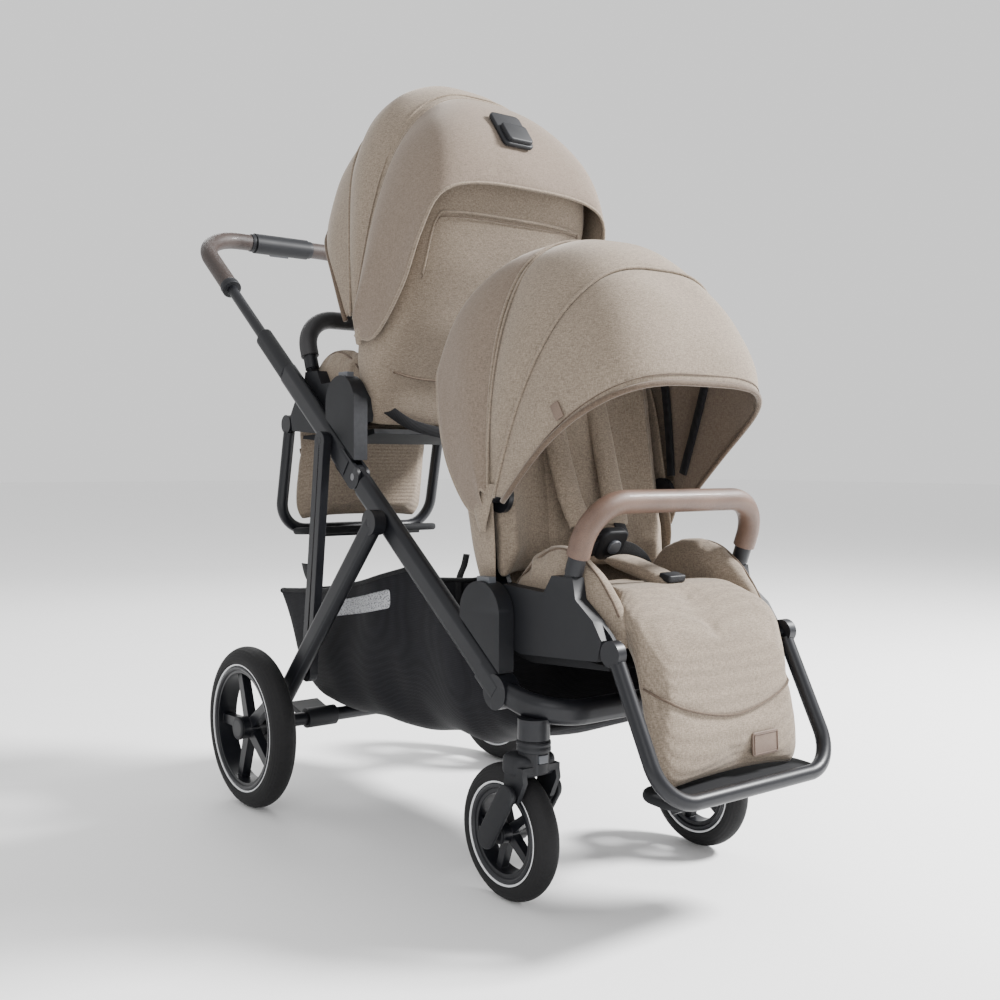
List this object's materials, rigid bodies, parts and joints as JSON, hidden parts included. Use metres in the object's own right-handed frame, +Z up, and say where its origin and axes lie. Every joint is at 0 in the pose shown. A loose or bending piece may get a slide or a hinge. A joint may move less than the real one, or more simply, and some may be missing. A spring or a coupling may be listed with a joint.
{
  "type": "tandem pushchair",
  "caption": "Four-wheel tandem pushchair: folding frame, telescopic handle, forward- and rear-facing reclining hooded seats, bumper bars, footrests, swivel front wheels and basket.",
  "frame": {"origin": "centre of the base of the bounding box, on the floor", "axes": "+Z up; -Y the way the stroller is pushed; +X the stroller's left"},
  "size_m": [0.608, 1.3398, 1.2176],
  "materials": {
    "tube": "satin",
    "plastic": "matte",
    "tyre": "matte",
    "fabric": "woven",
    "leather": "grained",
    "black_fabric": "woven",
    "button": "satin"
  },
  "bodies": {
    "chassis": {"front_frame": "tube", "lower_adapters": "plastic", "basket": "black_fabric", "pivot_pins": "tube"},
    "upper_frame": {"upper_frame": "tube", "upper_adapters": "plastic", "slider_casings": "plastic"},
    "handle": {"handle_bar": "tube", "handle_grips": "leather", "handle_hub": "plastic"},
    "handle_button": {"handle_button": "button"},
    "rear_legs": {"rear_legs": "tube", "rear_axle": "tube"},
    "struts": {"struts": "tube"},
    "brake_pedal": {"brake_pedal": "plastic"},
    "rear_wheel_right": {"rear_tyre_right": "tyre", "rear_rim_right": "plastic"},
    "fork_right": {"fork_right": "plastic"},
    "swing_arm_right": {"swing_arm_right": "plastic"},
    "front_wheel_right": {"front_tyre_right": "tyre", "front_rim_right": "plastic"},
    "wheel_button_right": {"wheel_button_right": "button"},
    "rear_wheel_left": {"rear_tyre_left": "tyre", "rear_rim_left": "plastic"},
    "fork_left": {"fork_left": "plastic"},
    "swing_arm_left": {"swing_arm_left": "plastic"},
    "front_wheel_left": {"front_tyre_left": "tyre", "front_rim_left": "plastic"},
    "wheel_button_left": {"wheel_button_left": "button"},
    "front_seat": {"front_seat_casings": "plastic", "front_seat_pan": "plastic", "front_seat_cushion": "fabric", "front_seat_harness": "black_fabric"},
    "front_seat_back": {"front_seat_back_frame": "tube", "front_seat_back_shell": "fabric", "front_seat_back_pad": "fabric", "front_seat_hood_rear": "fabric"},
    "front_hood_middle": {"front_seat_hood_middle": "fabric"},
    "front_hood_front": {"front_seat_hood_front": "fabric"},
    "front_bumper": {"front_seat_bumper_bar": "tube", "front_seat_bumper_grip": "leather"},
    "front_footrest": {"front_seat_footrest": "tube", "front_seat_calf_cushion": "fabric"},
    "front_release_levers": {"front_seat_release_levers": "button"},
    "rear_seat": {"rear_seat_casings": "plastic", "rear_seat_pan": "plastic", "rear_seat_cushion": "fabric", "rear_seat_harness": "black_fabric"},
    "rear_seat_back": {"rear_seat_back_frame": "tube", "rear_seat_back_shell": "fabric", "rear_seat_back_pad": "fabric", "rear_seat_hood_rear": "fabric"},
    "rear_hood_middle": {"rear_seat_hood_middle": "fabric"},
    "rear_hood_front": {"rear_seat_hood_front": "fabric"},
    "rear_bumper": {"rear_seat_bumper_bar": "tube", "rear_seat_bumper_grip": "leather"},
    "rear_footrest": {"rear_seat_footrest": "tube", "rear_seat_calf_cushion": "fabric"},
    "rear_release_levers": {"rear_seat_release_levers": "button"}
  },
  "joints": [
    {"name": "frame_fold", "type": "hinge", "parent": "chassis", "child": "upper_frame", "pos_m": [0, 0.01364, 0.58001], "axis": [1, 0, 0], "range_deg": [-12, 0]},
    {"name": "handle_telescope", "type": "slide", "parent": "upper_frame", "child": "handle", "axis": [0, 0.7934, 0.6088], "range_m": [-0.08, 0]},
    {"name": "handle_button_press", "type": "slide", "parent": "handle", "child": "handle_button", "axis": [0, -0.6088, 0.7934], "range_m": [0, 0.003]},
    {"name": "rear_leg_swing", "type": "hinge", "parent": "chassis", "child": "rear_legs", "pos_m": [0, -0.0776, 0.51], "axis": [1, 0, 0], "range_deg": [-5.75, 0.05]},
    {"name": "strut_swing", "type": "hinge", "parent": "upper_frame", "child": "struts", "pos_m": [0, 0.09138, 0.63967], "axis": [1, 0, 0], "range_deg": [-0.05, 6.55]},
    {"name": "brake_press", "type": "hinge", "parent": "rear_legs", "child": "brake_pedal", "pos_m": [-0.14, 0.2314, 0.14], "axis": [1, 0, 0], "range_deg": [-14, 0]},
    {"name": "rear_wheel_spin_right", "type": "hinge", "parent": "rear_legs", "child": "rear_wheel_right", "pos_m": [-0.277, 0.2314, 0.14], "axis": [1, 0, 0], "continuous": true},
    {"name": "caster_swivel_right", "type": "hinge", "parent": "chassis", "child": "fork_right", "pos_m": [-0.192, -0.4386, 0.212], "axis": [0, 0, 1], "continuous": true},
    {"name": "suspension_right", "type": "hinge", "parent": "fork_right", "child": "swing_arm_right", "pos_m": [-0.192, -0.4306, 0.16], "axis": [1, 0, 0], "range_deg": [-1.5, 3]},
    {"name": "front_wheel_spin_right", "type": "hinge", "parent": "swing_arm_right", "child": "front_wheel_right", "pos_m": [-0.192, -0.3886, 0.095], "axis": [1, 0, 0], "continuous": true},
    {"name": "wheel_button_press_right", "type": "slide", "parent": "fork_right", "child": "wheel_button_right", "axis": [0, 1, 0], "range_m": [0, 0.003]},
    {"name": "rear_wheel_spin_left", "type": "hinge", "parent": "rear_legs", "child": "rear_wheel_left", "pos_m": [0.277, 0.2314, 0.14], "axis": [1, 0, 0], "continuous": true},
    {"name": "caster_swivel_left", "type": "hinge", "parent": "chassis", "child": "fork_left", "pos_m": [0.192, -0.4386, 0.212], "axis": [0, 0, 1], "continuous": true},
    {"name": "suspension_left", "type": "hinge", "parent": "fork_left", "child": "swing_arm_left", "pos_m": [0.192, -0.4306, 0.16], "axis": [1, 0, 0], "range_deg": [-1.5, 3]},
    {"name": "front_wheel_spin_left", "type": "hinge", "parent": "swing_arm_left", "child": "front_wheel_left", "pos_m": [0.192, -0.3886, 0.095], "axis": [1, 0, 0], "continuous": true},
    {"name": "wheel_button_press_left", "type": "slide", "parent": "fork_left", "child": "wheel_button_left", "axis": [0, 1, 0], "range_m": [0, 0.003]},
    {"name": "front_seat_lift", "type": "slide", "parent": "chassis", "child": "front_seat", "axis": [0, 0, 1], "range_m": [0, 0.06]},
    {"name": "front_seat_recline", "type": "hinge", "parent": "front_seat", "child": "front_seat_back", "pos_m": [0, -0.3306, 0.392], "axis": [1, 0, 0], "range_deg": [-3, 10]},
    {"name": "front_hood_fold", "type": "hinge", "parent": "front_seat_back", "child": "front_hood_middle", "pos_m": [0, -0.3306, 0.557], "axis": [1, 0, 0], "range_deg": [-26, 0]},
    {"name": "front_visor_fold", "type": "hinge", "parent": "front_hood_middle", "child": "front_hood_front", "pos_m": [0, -0.3306, 0.557], "axis": [1, 0, 0], "range_deg": [-26, 0]},
    {"name": "front_bumper_pull", "type": "slide", "parent": "front_seat", "child": "front_bumper", "axis": [0, -0.342, 0.9397], "range_m": [0, 0.05]},
    {"name": "front_footrest_raise", "type": "hinge", "parent": "front_seat", "child": "front_footrest", "pos_m": [0, -0.5686, 0.363], "axis": [1, 0, 0], "range_deg": [-45, 4]},
    {"name": "front_lever_press", "type": "slide", "parent": "front_seat", "child": "front_release_levers", "axis": [0, 0, -1], "range_m": [0, 0.004]},
    {"name": "rear_seat_lift", "type": "slide", "parent": "upper_frame", "child": "rear_seat", "axis": [0, 0, 1], "range_m": [0, 0.06]},
    {"name": "rear_seat_recline", "type": "hinge", "parent": "rear_seat", "child": "rear_seat_back", "pos_m": [0, 0.0534, 0.702], "axis": [-1, 0, 0], "range_deg": [-2, 16]},
    {"name": "rear_hood_fold", "type": "hinge", "parent": "rear_seat_back", "child": "rear_hood_middle", "pos_m": [0, 0.00792, 0.86061], "axis": [-1, 0, 0], "range_deg": [-27, 0]},
    {"name": "rear_visor_fold", "type": "hinge", "parent": "rear_hood_middle", "child": "rear_hood_front", "pos_m": [0, 0.00792, 0.86061], "axis": [-1, 0, 0], "range_deg": [-27, 0]},
    {"name": "rear_bumper_pull", "type": "slide", "parent": "rear_seat", "child": "rear_bumper", "axis": [0, 0.342, 0.9397], "range_m": [0, 0.05]},
    {"name": "rear_footrest_raise", "type": "hinge", "parent": "rear_seat", "child": "rear_footrest", "pos_m": [0, 0.2914, 0.673], "axis": [-1, 0, 0], "range_deg": [-45, 4]},
    {"name": "rear_lever_press", "type": "slide", "parent": "rear_seat", "child": "rear_release_levers", "axis": [0, 0, -1], "range_m": [0, 0.004]}
  ],
  "couplings": [
    {"joint": "rear_leg_swing", "follows": "frame_fold", "ratio": 0.47277},
    {"joint": "strut_swing", "follows": "frame_fold", "ratio": -0.54053},
    {"joint": "front_visor_fold", "follows": "front_hood_fold", "ratio": 1},
    {"joint": "rear_visor_fold", "follows": "rear_hood_fold", "ratio": 1}
  ]
}
